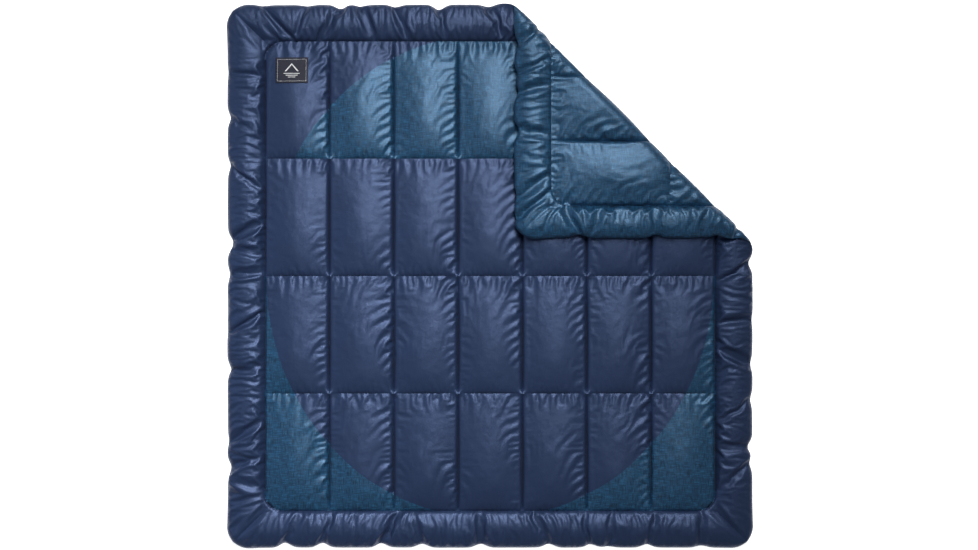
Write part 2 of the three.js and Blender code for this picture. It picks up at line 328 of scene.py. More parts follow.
def spareLengths(grid, fields, c):
    # how much longer than its space the cloth is cut, in the chambers and then in the border
    varyX, varyY = (
        np.clip(mean + spread * field(grid.X, grid.Y), least, most)
        for field, (mean, spread, least, most) in zip(fields["vary"], c["varyLimits"]))
    rightSide = smooth((grid.unitX - c["rightFrom"]) / c["rightOver"])
    nearColumn = fading(grid.fromColumn, c["sideReach"])
    nearColumn *= c["leftShare"] + (1 - c["leftShare"]) * rightSide
    nearRow = fading(grid.fromRow, c["endReach"] * np.where(grid.unitY > 0.5, *c["headFoot"]))
    puckers = c["gatherSide"] * nearColumn * varyY
    sine, cosine = math.sin(math.radians(c["puckerSlant"])), math.cos(math.radians(c["puckerSlant"]))
    chamberX = c["gatherEnd"] * nearRow * varyX + puckers * sine ** 2
    chamberY = puckers * cosine ** 2
    skew = np.where(grid.inPanel, puckers * sine * cosine * (2 * rightSide - 1), 0)
    return chamberX, chamberY, skew, c["gatherTube"] * varyX, c["gatherTube"] * varyY


def wantedShape(grid, want, fullAlong, c):
    # both layers as the fill alone would leave them, after the seams' own places
    flat = np.stack([grid.planX, grid.planY, np.zeros_like(grid.planX)], -1)
    outwards = 1 - 2 * grid.side  # which way the full side faces
    middle = np.sin(np.pi * grid.unitX) ** c["liftPower"]
    between = np.sin(np.pi * grid.unitY) ** c["sinkPower"]
    lift = c["rowLift"] * middle * (1 - fullAlong) * (np.abs(grid.Y) < panelY - rowPitch / 2)
    sink = c["columnSink"] * between * fading(grid.fromColumn, c["sinkWidth"])
    flat[..., 2] = np.where(grid.inChambers, outwards * (lift - sink), 0)
    lean = c["wallLean"] * ((grid.unitX + 0.5) % 1 - 0.5) * columnPitch
    lean = lean * fading(grid.fromColumn, c["leanWidth"]) * between
    flat[..., 0] -= np.where(grid.inChambers & ~grid.columnSeam, lean, 0)
    full = np.stack([flat, flat])
    ground = groundUnder(grid.X, grid.Y, c)
    full[0, ..., 2] += want * ground / c["loft"]
    full[1, ..., 2] += want * (1 + ground / c["loft"])
    return flat, full, ground


def creaseBorder(grid, want, alongX, alongY, fields, c):
    # deep creases cross the border, and its outer edge is drawn in at each
    for tuck in fields["tucks"]:
        onSide = tuck["side"] < 2
        outward, along = (grid.X, grid.Y) if onSide else (grid.Y, grid.X)
        sign = -1 if tuck["side"] in (0, 2) else 1
        out = sign * outward - (panelX if onSide else panelY)
        mine = (grid.sideStrip == onSide) & (out > 0)
        off = along - tuck["at"] - tuck["slant"] * (out - borderWidth / 2)
        want = np.where(mine, want * (1 - tuck["depth"] * fading(off, tuck["width"])), want)
        inwards = np.where(mine, tuck["pull"] * fading(off, c["tuckPullReach"]) * grid.across ** 2, 0)
        gathered = mine * c["tuckGather"] * fading(off, c["tuckGatherReach"])
        if onSide:
            grid.planX = grid.planX - sign * inwards
            alongY = alongY + gathered
        else:
            grid.planY = grid.planY - sign * inwards
            alongX = alongX + gathered
    inBorder = np.clip((grid.X - panelX) / borderWidth, 0, 1)
    grid.planX = grid.planX - c["cornerPull"] * inBorder * foldSide(grid.X, grid.Y, c["cornerReach"])
    return want, alongX, alongY


def makePlan(level, fields, c):
    # the wanted shape, and the lengths that the cloth is cut to between its points
    grid = Grid(level, c)
    share = grid.share
    fullAlong = np.sin(np.pi * (1 - grid.unitY) ** c["crownShift"]) ** c["crownAlong"]
    want = wantedLoft(grid, fullAlong, fields, c)
    chamberX, chamberY, skew, alongX, alongY = spareLengths(grid, fields, c)
    want, alongX, alongY = creaseBorder(grid, want, alongX, alongY, fields, c)
    want[share] = 0
    easeX = np.where(grid.inPanel, chamberX, np.where(grid.sideStrip, 0, alongX))
    easeY = np.where(grid.inPanel, chamberY, np.where(grid.sideStrip, alongY, 0))
    flat, full, ground = wantedShape(grid, want, fullAlong, c)

    def lengths(ends, spare, sewn=False):
        return np.linalg.norm(ends, axis=-1) * (1 + np.where(sewn, 0, spare))

    def inCells(values):
        return (values[1:, 1:] + values[:-1, :-1] + values[1:, :-1] + values[:-1, 1:]) / 4

    spareX, spareY = (easeX[:, 1:] + easeX[:, :-1]) / 2, (easeY[1:] + easeY[:-1]) / 2
    restX = lengths(full[:, :, 1:] - full[:, :, :-1], spareX, share[:, 1:] & share[:, :-1])
    restY = lengths(full[:, 1:] - full[:, :-1], spareY, share[1:] & share[:-1])
    # the cloth resists folding, except in the walls beside a seam
    wallX = (grid.fromColumn < c["wallReach"]) & ~grid.beyond | grid.arc
    wallY = (grid.fromRow < c["wallReach"]) & ~grid.beyond | grid.arc
    chordX = lengths(full[:, :, 2:] - full[:, :, :-2], 0)
    chordY = lengths(full[:, 2:] - full[:, :-2], 0)
    bendX = np.where(wallX[:, 1:-1], chordX, restX[..., 1:] + restX[..., :-1])
    bendY = np.where(wallY[1:-1], chordY, restY[:, 1:] + restY[:, :-1])
    spare, skew = inCells((easeX + easeY) / 2), inCells(skew)
    arrays = {
        "flat": flat, "full": full, "want": want, "ground": ground, "lid": ground + c["loft"],
        "restX": restX, "restY": restY,
        "rising": lengths(full[:, 1:, 1:] - full[:, :-1, :-1], spare - skew),
        "falling": lengths(full[:, 1:, :-1] - full[:, :-1, 1:], spare + skew),
        "bendX": bendX * c["bendShare"], "bendY": bendY * c["bendShare"],
    }
    return grid, {name: values.astype(np.float32) for name, values in arrays.items()}


def pull(points, a, b, rest, stiffness, onlyPush=False):
    # brings each pair of points towards its rest length
    gap = points[b] - points[a]
    length = np.sqrt(np.einsum("...k,...k->...", gap, gap))
    change = (length - rest) / np.maximum(length, 1e-7) * (0.5 * stiffness)  # half for each end
    if onlyPush:
        change = np.minimum(change, 0)
    gap *= change[..., None]
    points[a] += gap
    points[b] -= gap


def clothNormals(points):
    du, dv = np.empty_like(points), np.empty_like(points)
    du[:, :, 1:-1] = points[:, :, 2:] - points[:, :, :-2]
    du[:, :, 0] = points[:, :, 1] - points[:, :, 0]
    du[:, :, -1] = points[:, :, -1] - points[:, :, -2]
    dv[:, 1:-1] = points[:, 2:] - points[:, :-2]
    dv[:, 0] = points[:, 1] - points[:, 0]
    dv[:, -1] = points[:, -1] - points[:, -2]
    normals = np.cross(du, dv)
    normals /= np.sqrt(np.einsum("...k,...k->...", normals, normals))[..., None] + 1e-12
    normals[0] *= -1  # the back faces down
    return normals


def settle(points, grid, plan, steps, c):
    ny, nx, share, seam = grid.ny, grid.nx, grid.share, grid.seam
    shear, bend = c["shearStiffness"], c["bendStiffness"]
    rising, falling, bendX, bendY = (plan[k] for k in ("rising", "falling", "bendX", "bendY"))
    old = points.copy()
    force = 0
    for step in range(steps):
        speed = (points - old) * c["keepSpeed"]
        old = points.copy()
        if step % 2 == 0:  # the fill
            thick = points[1, ..., 2] - points[0, ..., 2]
            short = (plan["want"] - thick) / (c["pushRange"] * c["loft"])
            size = c["push"] * np.clip(short, c["drawBack"], 1)
            size[grid.hem] = 0
            force = clothNormals(points) * size[None, ..., None].astype(np.float32)
        points += speed + force
        for k in (0, 1):
            pull(points, np.s_[:, :, k:nx - 1:2], np.s_[:, :, k + 1:nx:2], plan["restX"][:, :, k::2], 1)
            pull(points, np.s_[:, k:ny - 1:2], np.s_[:, k + 1:ny:2], plan["restY"][:, k::2], 1)
            pull(points, np.s_[:, :-1, k:nx - 1:2], np.s_[:, 1:, k + 1:nx:2], rising[:, :, k::2], shear)
            pull(points, np.s_[:, 1:, k:nx - 1:2], np.s_[:, :-1, k + 1:nx:2], falling[:, :, k::2], shear)
        for k in range(4):
            pull(points, np.s_[:, :, k:nx - 2:4], np.s_[:, :, k + 2:nx:4], bendX[:, :, k::4], bend, True)
            pull(points, np.s_[:, k:ny - 2:4], np.s_[:, k + 2:ny:4], bendY[:, k::4], bend, True)
        points[:, share] = points[:, share].mean(0)
        sewn = points[:, seam]  # the thread keeps its place
        sewn[..., :2] += c["holdPlan"] * (plan["flat"][seam][None, :, :2] - sewn[..., :2])
        sewn[..., 2] += c["holdHeight"] * (plan["flat"][seam][None, :, 2] - sewn[..., 2])
        points[:, seam] = sewn
        points[0, ..., 2] = np.maximum(points[0, ..., 2], plan["ground"])
        points[1, ..., 2] = np.minimum(points[1, ..., 2], plan["lid"])
        crossed = points[1, ..., 2] < points[0, ..., 2]
        middle = (points[1, ..., 2] + points[0, ..., 2]) / 2
        points[:, crossed, 2] = middle[crossed]
    return points


def finer(points):
    # twice as many cells each way
    layers, ny, nx, axes = points.shape
    wide = np.empty((layers, ny, 2 * nx - 1, axes), np.float32)
    wide[:, :, ::2] = points
    wide[:, :, 1::2] = (points[:, :, 1:] + points[:, :, :-1]) / 2
    tall = np.empty((layers, 2 * ny - 1, 2 * nx - 1, axes), np.float32)
    tall[:, ::2] = wide
    tall[:, 1::2] = (wide[:, 1:] + wide[:, :-1]) / 2
    return tall


def simulate(c):
    fields = makeFields(c)
    for level, steps in enumerate(c["steps"]):
        grid, plan = makePlan(level + 1, fields, c)
        points = finer(points) if level else plan["full"].copy()
        for layer, start in enumerate(fields["start"][level]):
            points[layer, ..., 2] += c["startHeights"][level] * start(grid.X, grid.Y)
        points = settle(points, grid, plan, steps, c)
        report(f"cloth settled, level {level + 1}")
    return points, grid


points, grid = simulate(cloth)

fold = {
    "reach": 0.10,  # how far from the fold the back's path round it is eased
    "inset": 0.014,  # the face stops this far inside the fold's outer edge
    "clearance": 0.0015,  # half the gap between the faces that lie on each other
    "seamThickness": 0.0012,
    "aboveFloor": 0.0004,
    "middle": 0.003,  # no point is closer to the fold's middle than this
}


def foldOver(x, y, depth):
    # depth is the height above the lowest plane of the back, before the corner is turned
    s, t = (x + y - foldSum) / math.sqrt(2), (x - y) / math.sqrt(2)
    away = np.maximum(np.abs(s), fold["middle"])
    reach, radius = fold["reach"], foldHeight
    arcLength = math.pi * radius / 2
    path = away * (arcLength + reach - radius) / reach
    angle = np.minimum(path, arcLength) / radius
    outS = np.where(path < arcLength, radius - radius * np.cos(angle), radius + path - arcLength)
    outZ = np.where(path < arcLength, radius - radius * np.sin(angle), 0)
    inS = fold["inset"] + (reach - fold["inset"]) * away / reach
    near = away < reach
    outS, outZ, inS = np.where(near, outS, away), np.where(near, outZ, 0), np.where(near, inS, away)
    share = depth / (radius - fold["clearance"])
    newS = -(outS + share * (inS - outS))
    newZ = outZ + share * (radius - fold["clearance"] - outZ)
    newZ = np.where(s > 0, 2 * radius - newZ, newZ)
    total = foldSum + newS * math.sqrt(2)
    return np.stack([(total + t * math.sqrt(2)) / 2, (total - t * math.sqrt(2)) / 2, newZ], -1)


def foldLayers(points, c):
    x, y, z = points[..., 0], points[..., 1], points[..., 2]
    depth = np.clip(z - groundUnder(x, y, c), fold["aboveFloor"], foldHeight - fold["clearance"])
    inside = (np.abs(grid.X) < panelX - columnPitch / 2) & (np.abs(grid.Y) < panelY - rowPitch / 2)
    crossing = c["tuft"] * fading(np.hypot(grid.fromColumn, grid.fromRow), c["tuftWidth"]) * inside
    depth[1] += crossing * (1 - grid.side)
    underFace = np.minimum(depth[0] - crossing * grid.side, depth[1] - fold["seamThickness"])
    depth[0] = np.maximum(underFace, fold["aboveFloor"])
    return foldOver(x.astype(float), y.astype(float), depth)


laid = foldLayers(points, cloth)
report("corner turned over")


def cellsOf(corner):
    # the four corners of each cell in a grid of point numbers
    around = [corner[:-1, :-1], corner[:-1, 1:], corner[1:, 1:], corner[1:, :-1]]
    return np.stack(around, -1).reshape(-1, 4)


onCut = 1e-5  # a point nearer to a cut than this counts as on it


class Layer:
    # one layer's points, their place on the flat cut, and its cells
    def __init__(self, places):
        self.places = [tuple(p) for p in places.reshape(-1, 3)]
        self.flat = np.stack([grid.X.ravel(), grid.Y.ravel()], -1).tolist()
        self.cells = cellsOf(np.arange(grid.X.size).reshape(grid.X.shape)).tolist()
        self.cuts = {}

    def between(self, a, b, valueA, valueB, cut):
        key = (cut, min(a, b), max(a, b))
        if key not in self.cuts:
            t = valueA / (valueA - valueB)
            self.cuts[key] = len(self.places)
            for row in (self.places, self.flat):
                row.append(tuple(u + (v - u) * t for u, v in zip(row[a], row[b])))
        return self.cuts[key]

    def split(self, polygons, value, cut):
        # the polygons where value is below 0, then those where it is above, cut along 0
        low, high = [], []
        flat = np.array(self.flat)
        values = value(flat[:, 0], flat[:, 1])
        values[np.abs(values) < onCut] = 0
        for polygon in polygons:
            signs = [values[v] for v in polygon]
            if max(signs) <= 0:
                low.append(polygon)
            elif min(signs) >= 0:
                high.append(polygon)
            else:
                under, over = [], []
                for k, v in enumerate(polygon):
                    w = polygon[(k + 1) % len(polygon)]
                    if values[v] <= 0:
                        under.append(v)
                    if values[v] >= 0:
                        over.append(v)
                    if values[v] * values[w] < 0:
                        new = self.between(v, w, values[v], values[w], cut)
                        under.append(new)
                        over.append(new)
                low.append(under)
                high.append(over)
        return low, high


def outsidePanel(x, y):
    radius = quilt["panelRound"]
    a, b = np.abs(x) - panelX + radius, np.abs(y) - panelY + radius
    square = np.maximum(a, b) - radius
    return np.where((a > 0) & (b > 0), np.hypot(a, b) - radius, square)


def outsideBlock(x, y):
    return np.hypot(x / quilt["blockX"], y / quilt["blockY"]) - 1


def pastFold(x, y):
    return x + y - foldSum


face, back = Layer(laid[1]), Layer(laid[0])
panel, border = face.split(face.cells, outsidePanel, "panel")
ends, sides = face.split(border, lambda x, y: (np.abs(x) - panelX) - (np.abs(y) - panelY), "mitre")
footStrip, headStrip = face.split(ends, lambda x, y: y, "ends")
leftStrip, rightStrip = face.split(sides, lambda x, y: x, "sides")
lowerRows, topRow = face.split(panel, lambda x, y: y - rowPitch, "row1")
feet, secondRow = face.split(lowerRows, lambda x, y: y, "row3")
tealCap, headNavy = face.split(topRow, outsideBlock, "block")
navyBody, footTeal = face.split(feet, outsideBlock, "block")
headLeft, headRight = face.split(headNavy, lambda x, y: x, "middle")
capSliver, headRight = face.split(headRight, pastFold, "fold")
footLeft, footRight = face.split(footTeal, lambda x, y: x, "middle")
report("layers cut into their pieces")


def addNode(tree, kind, inputs=None, **settings):
    node = tree.nodes.new(kind)
    for name, value in settings.items():
        setattr(node, name, value)
    for key, value in (inputs or {}).items():
        if isinstance(value, bpy.types.NodeSocket):
            tree.links.new(value, node.inputs[key])
        else:
            node.inputs[key].default_value = value
    return node


def linear(hexColour):
    parts = [int(hexColour[k:k + 2], 16) / 255 for k in (1, 3, 5)]
    parts = [p / 12.92 if p <= 0.04045 else ((p + 0.055) / 1.055) ** 2.4 for p in parts]
    return (*parts, 1)


def newMaterial(name):
    material = bpy.data.materials.new(name)
    material.use_nodes = True
    tree = material.node_tree
    tree.nodes.clear()
    shader = addNode(tree, "ShaderNodeBsdfPrincipled")
    addNode(tree, "ShaderNodeOutputMaterial", {"Surface": shader.outputs[0]})
    return material, tree, shader


def flatCut(tree, scale=(1, 1, 1), turn=0):
    place = addNode(tree, "ShaderNodeUVMap", uv_map="flatCut")
    mapped = addNode(tree, "ShaderNodeMapping", {
        "Vector": place.outputs[0], "Scale": scale, "Rotation": (0, 0, turn)})
    return mapped.outputs[0]


wovenNylon = {
    "ior": 1.53,
    "sheen": 0.04,
    "sheenRoughness": 0.4,
    "crumple": 0.020,  # width of the small wrinkles that the cloth mesh is too coarse for
    "crumpleDepth": 0.0006,
    "crumpleDetail": 3.0,
    "crumpleTwist": 0.6,
    "detail": 2.0,  # of the noise that the colours are mixed by
}

# Nylon taffeta, plain woven from fine yarn and calendered (pressed with hot rollers) on one side.
# The rollers give it a satin gloss, and the fine yarn shows only as a faint grain.
navyTaffeta = {
    **wovenNylon,
    "name": "calendered_nylon_taffeta_navy",
    "dark": "#152139",
    "light": "#1a2742",
    "gloss": "#a8c4ff",
    "roughness": 0.45,
    "shine": 0.6,
    "yarn": 0.0016,  # real spacing is 0.2 mm, drawn coarser so that the grain shows
    "yarnDepth": 0.00004,
    "patchSize": 0.11,  # metres between slightly darker and lighter places
}


def mixColours(tree, share, first, second):
    mixed = addNode(tree, "ShaderNodeMix", {0: share, 6: first, 7: second}, data_type="RGBA")
    return mixed.outputs[2]


def weave(tree, plain, pitch):
    # warp and weft as two crossed waves, one wave for each pitch
    scale = math.pi / 10 / pitch
    warp = addNode(tree, "ShaderNodeTexWave", {"Vector": plain, "Scale": scale}, bands_direction="X")
    weft = addNode(tree, "ShaderNodeTexWave", {"Vector": plain, "Scale": scale}, bands_direction="Y")
    crossed = addNode(tree, "ShaderNodeMath", {
        0: warp.outputs["Fac"], 1: weft.outputs["Fac"]}, operation="MULTIPLY")
    return crossed.outputs[0]


def crumpled(tree, plain, look):
    # the small soft creases that the cloth keeps from being stuffed away
    creases = addNode(tree, "ShaderNodeTexNoise", {
        "Vector": plain, "Scale": 1 / look["crumple"],
        "Detail": look["crumpleDetail"], "Distortion": look["crumpleTwist"]})
    bump = addNode(tree, "ShaderNodeBump", {
        "Height": creases.outputs["Fac"], "Distance": look["crumpleDepth"]})
    return bump.outputs[0]


def finishCloth(tree, shader, colour, normal, look):
    tree.links.new(colour, shader.inputs["Base Color"])
    tree.links.new(normal, shader.inputs["Normal"])
    shader.inputs["Roughness"].default_value = look["roughness"]
    shader.inputs["IOR"].default_value = look["ior"]
    shader.inputs["Specular IOR Level"].default_value = look["shine"]
    shader.inputs["Specular Tint"].default_value = linear(look["gloss"])
    shader.inputs["Sheen Weight"].default_value = look["sheen"]
    shader.inputs["Sheen Roughness"].default_value = look["sheenRoughness"]


def makeTaffeta(look):
    material, tree, shader = newMaterial(look["name"])
    plain = flatCut(tree)
    patches = addNode(tree, "ShaderNodeTexNoise", {
        "Vector": plain, "Scale": 1 / look["patchSize"], "Detail": look["detail"]})
    colour = mixColours(tree, patches.outputs["Fac"], linear(look["dark"]), linear(look["light"]))
    fine = addNode(tree, "ShaderNodeBump", {
        "Height": weave(tree, plain, look["yarn"]), "Distance": look["yarnDepth"],
        "Normal": crumpled(tree, plain, look)})
    finishCloth(tree, shader, colour, fine.outputs[0], look)
    return material


# Heathered nylon, woven from dark and light yarns mixed, so short dark and pale dashes cross.
# It is calendered too, and glosses a little more than the navy.
tealHeather = {
    **wovenNylon,
    "name": "heathered_nylon_teal",
    "ground": "#0f2c47",
    "pale": "#1e4e71",
    "dark": "#0a1b2a",
    "gloss": "#a4d2ff",
    "roughness": 0.43,
    "shine": 0.80,
    "dashWidth": 0.0028,  # real yarns are 0.3 mm, drawn coarser so that the heather shows
    "dashLength": 0.030,
    "darkRange": (0.46, 0.66),  # of the noise, from no dark yarn to all of it
    "paleRange": (0.44, 0.70),
}


def makeHeather(look):
    material, tree, shader = newMaterial(look["name"])
    plain = flatCut(tree)
    thin, long = 1 / look["dashWidth"], 1 / look["dashLength"]
    warp = addNode(tree, "ShaderNodeTexNoise", {
        "Vector": flatCut(tree, (thin, long, 1)), "Scale": 1.0, "Detail": look["detail"]})
    weft = addNode(tree, "ShaderNodeTexNoise", {
        "Vector": flatCut(tree, (long, thin, 1)), "Scale": 1.0, "Detail": look["detail"]})
    darkDash = addNode(tree, "ShaderNodeMapRange", {
        "Value": warp.outputs["Fac"], "From Min": look["darkRange"][0], "From Max": look["darkRange"][1]})
    paleDash = addNode(tree, "ShaderNodeMapRange", {
        "Value": weft.outputs["Fac"], "From Min": look["paleRange"][0], "From Max": look["paleRange"][1]})
    pale = mixColours(tree, paleDash.outputs[0], linear(look["ground"]), linear(look["pale"]))
    colour = mixColours(tree, darkDash.outputs[0], pale, linear(look["dark"]))
    finishCloth(tree, shader, colour, crumpled(tree, plain, look), look)
    return material


navy, teal = makeTaffeta(navyTaffeta), makeHeather(tealHeather)

seamPoint = grid.seam.ravel()


def storeFlatCut(mesh, flat):
    # flat has each point's place on the flat cut, which the materials are laid on
    corners = np.empty(len(mesh.loops), np.int32)
    mesh.loops.foreach_get("vertex_index", corners)
    flat = np.asarray(flat, np.float32)[corners]
    mesh.uv_layers.new(name="flatCut").data.foreach_set("uv", flat.ravel())


def makeFabric(name, layer, polygons, material, inwards=False):
    used = sorted({v for polygon in polygons for v in polygon})
    number = {v: k for k, v in enumerate(used)}
    faces = [[number[v] for v in (reversed(polygon) if inwards else polygon)] for polygon in polygons]
    mesh = bpy.data.meshes.new(name)
    mesh.from_pydata([layer.places[v] for v in used], [], faces)
    ends = np.empty(len(mesh.edges) * 2, np.int32)
    mesh.edges.foreach_get("vertices", ends)
    sewn = np.array([v < len(seamPoint) and bool(seamPoint[v]) for v in used])[ends.reshape(-1, 2)].all(1)
    mesh.edges.foreach_set("use_edge_sharp", sewn)
    mesh.polygons.foreach_set("use_smooth", np.ones(len(mesh.polygons), bool))
    storeFlatCut(mesh, [layer.flat[v] for v in used])
    mesh.materials.append(material)
    return addObject(name, mesh)


def nodesLike(*starts):
    return [n for n in sorted(frame["nodes"]) if n.startswith(starts)]


fabrics = [
    # name, layer, polygons, material, slot, body or None where it crosses the fold, CAD nodes
    ("back_fabric", back, back.cells, teal, "teal_heather", None, nodesLike("back_panel")),
    ("teal_cap", face, tealCap + capSliver, teal, "teal_heather", None,
     nodesLike("face_teal_cap", "fill_row1")),
    ("navy_head_left", face, headLeft, navy, "navy_taffeta", "quilt", ["face_navy_head_left"]),
    ("navy_head_right", face, headRight, navy, "navy_taffeta", "turned_corner",
     ["face_navy_head_right_corner"]),
    ("navy_body", face, navyBody + secondRow, navy, "navy_taffeta", None,
     nodesLike("face_navy_body", "fill_row2", "fill_row3", "fill_row4")),
    ("teal_foot_left", face, footLeft, teal, "teal_heather", "quilt", ["face_teal_foot_left"]),
    ("teal_foot_right", face, footRight, teal, "teal_heather", "quilt", ["face_teal_foot_right"]),
    ("border_head", face, headStrip, navy, "navy_taffeta", None,
     nodesLike("border_strip_head", "border_fill_head")),
    ("border_right", face, rightStrip, navy, "navy_taffeta", None,
     nodesLike("border_strip_right", "border_fill_right")),
    ("border_left", face, leftStrip, navy, "navy_taffeta", "quilt",
     nodesLike("border_strip_left", "border_fill_left")),
    ("border_foot", face, footStrip, navy, "navy_taffeta", "quilt",
     nodesLike("border_strip_foot", "border_fill_foot")),
]
for name, layer, polygons, material, slotName, body, stoodFor in fabrics:
    piece = makeFabric(name, layer, polygons, material, inwards=layer is back)
    if body:
        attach(piece, body)
    else:
        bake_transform(piece)
    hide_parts(*stoodFor)
report("fabric pieces made")

label = {
    "cells": (40, 32),
    "thickness": 0.0008,
    "above": 0.0012,  # over the cloth that it is sewn to
    "stiffness": 30,  # passes that smooth out the cloth's wrinkles under it
}
labelLow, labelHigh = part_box("woven_label")
labelMiddle = ((labelLow.x + labelHigh.x) / 2, (labelLow.y + labelHigh.y) / 2)
labelSize = (labelHigh.x - labelLow.x, labelHigh.y - labelLow.y)


def onFace(x, y):
    # places on the finished face, for points given on the flat cut
    i = np.interp(x, grid.xs, np.arange(grid.nx))
    j = np.interp(y, grid.ys, np.arange(grid.ny))
    a, b = np.floor(i).astype(int), np.floor(j).astype(int)
    u, v = (i - a)[..., None], (j - b)[..., None]
    top = laid[1]
    low = top[b, a] * (1 - u) + top[b, a + 1] * u
    high = top[b + 1, a] * (1 - u) + top[b + 1, a + 1] * u
    return low * (1 - v) + high * v


def makeLabel():
    nx, ny = label["cells"]
    u, v = np.meshgrid(np.linspace(-0.5, 0.5, nx + 1), np.linspace(-0.5, 0.5, ny + 1))
    x, y = labelMiddle[0] + u * labelSize[0], labelMiddle[1] + v * labelSize[1]
    under = onFace(x, y)
    top = under.copy()
    for smoothing in range(label["stiffness"]):
        wide = np.pad(top[..., 2], 1, mode="reflect", reflect_type="odd")
        top[..., 2] = (wide[:-2, 1:-1] + wide[2:, 1:-1] + wide[1:-1, :-2] + wide[1:-1, 2:]) / 4
        top[..., 2] = np.maximum(top[..., 2], under[..., 2])
    top[..., 2] += label["above"] + label["thickness"]
    bottom = top.copy()
    bottom[..., 2] -= label["thickness"]
    count = (nx + 1) * (ny + 1)
    corner = np.arange(count).reshape(ny + 1, nx + 1)
    upper = cellsOf(corner)
    faces = upper.tolist() + (upper[:, ::-1] + count).tolist()
    rim = np.concatenate([corner[0, :-1], corner[:-1, -1], corner[-1, :0:-1], corner[:0:-1, 0]])
    for a, b in zip(rim, np.roll(rim, -1)):
        faces.append([int(b), int(a), int(a + count), int(b + count)])
    mesh = bpy.data.meshes.new("woven_patch")
    mesh.from_pydata(np.concatenate([top.reshape(-1, 3), bottom.reshape(-1, 3)]).tolist(), [], faces)
    mesh.polygons.foreach_set("use_smooth", np.arange(len(faces)) < 2 * len(upper))
    flat = np.stack([u * labelSize[0], v * labelSize[1]], -1).reshape(-1, 2)
    storeFlatCut(mesh, np.tile(flat, (2, 1)))
    return addObject("woven_patch", mesh), top


# Damask woven patch: polyester yarn, close and matt, with the mark woven in pale yarn.
wovenPatch = {
    "name": "woven_polyester_patch",
    "ground": "#0c1226",
    "print": "#c4c8cc",
    "roughness": 0.75,
    "yarn": 0.0012,  # real spacing is 0.15 mm, drawn coarser so that it shows
    "yarnDepth": 0.00012,
    "frame": (0.054, 0.041, 0.0007),  # half width, half height and line of the thin frame
    "peak": (0.0, -0.004, 0.026, 0.030),  # middle, foot, half width and height of the peak
    "stroke": 0.006,
    "bars": ((0.0, -0.012, 0.030, 0.0012), (0.0, -0.019, 0.022, 0.0012), (0.0, -0.026, 0.014, 0.0012)),
}


def makePatchMaterial(look):
    material, tree, shader = newMaterial(look["name"])
    plain = flatCut(tree)
    axes = addNode(tree, "ShaderNodeSeparateXYZ", {"Vector": plain})
    across, up = axes.outputs[0], axes.outputs[1]

    def maths(operation, *values):
        return addNode(tree, "ShaderNodeMath", dict(enumerate(values)), operation=operation).outputs[0]

    def box(x, y, halfWidth, halfHeight):
        inX, inY = maths("COMPARE", across, x, halfWidth), maths("COMPARE", up, y, halfHeight)
        return maths("MULTIPLY", inX, inY)

    wide, tall, line = look["frame"]
    marks = [maths("SUBTRACT", box(0, 0, wide, tall), box(0, 0, wide - line, tall - line))]
    middle, foot, half, height = look["peak"]
    slope = maths("MULTIPLY", maths("ABSOLUTE", maths("SUBTRACT", across, middle)), height / half)
    rise = maths("SUBTRACT", up, foot)
    outer = maths("LESS_THAN", maths("ADD", rise, slope), height)
    inner = maths("LESS_THAN", maths("ADD", rise, slope), height - look["stroke"])
    marks.append(maths("MULTIPLY", maths("SUBTRACT", outer, inner), maths("GREATER_THAN", rise, 0)))
    for x, y, halfWidth, halfHeight in look["bars"]:
        marks.append(box(x, y, halfWidth, halfHeight))
    total = marks[0]
    for mark in marks[1:]:
        total = maths("MAXIMUM", total, mark)
    colour = mixColours(tree, total, linear(look["ground"]), linear(look["print"]))
    bump = addNode(tree, "ShaderNodeBump", {
        "Height": weave(tree, plain, look["yarn"]), "Distance": look["yarnDepth"]})
    tree.links.new(colour, shader.inputs["Base Color"])
    tree.links.new(bump.outputs[0], shader.inputs["Normal"])
    shader.inputs["Roughness"].default_value = look["roughness"]
    return material


patch, patchTop = makeLabel()
patch.data.materials.append(makePatchMaterial(wovenPatch))
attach(patch, "quilt")
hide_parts("woven_label")
report("label made")

# Geometry Nodes lays one short rod for each stitch along the seams.
stitching = {
    "pitch": 0.0060,  # real stitches are 3 mm, drawn longer so that they show
    "length": 0.0044,
    "width": 0.0010,
    "sides": 5,
    "seed": 5,
    "patchPitch": 0.0040,
    "patchLength": 0.0028,
    "patchWidth": 0.0006,
    "patchInset": 2,  # cells of the label between its edge and its stitches
    "shortest": 4,  # grid points in the shortest run that is sewn
    "leastScale": (0.9, 0.9, 0.88),  # each stitch differs a little in width and length
    "mostScale": (1.1, 1.1, 1.08),
}


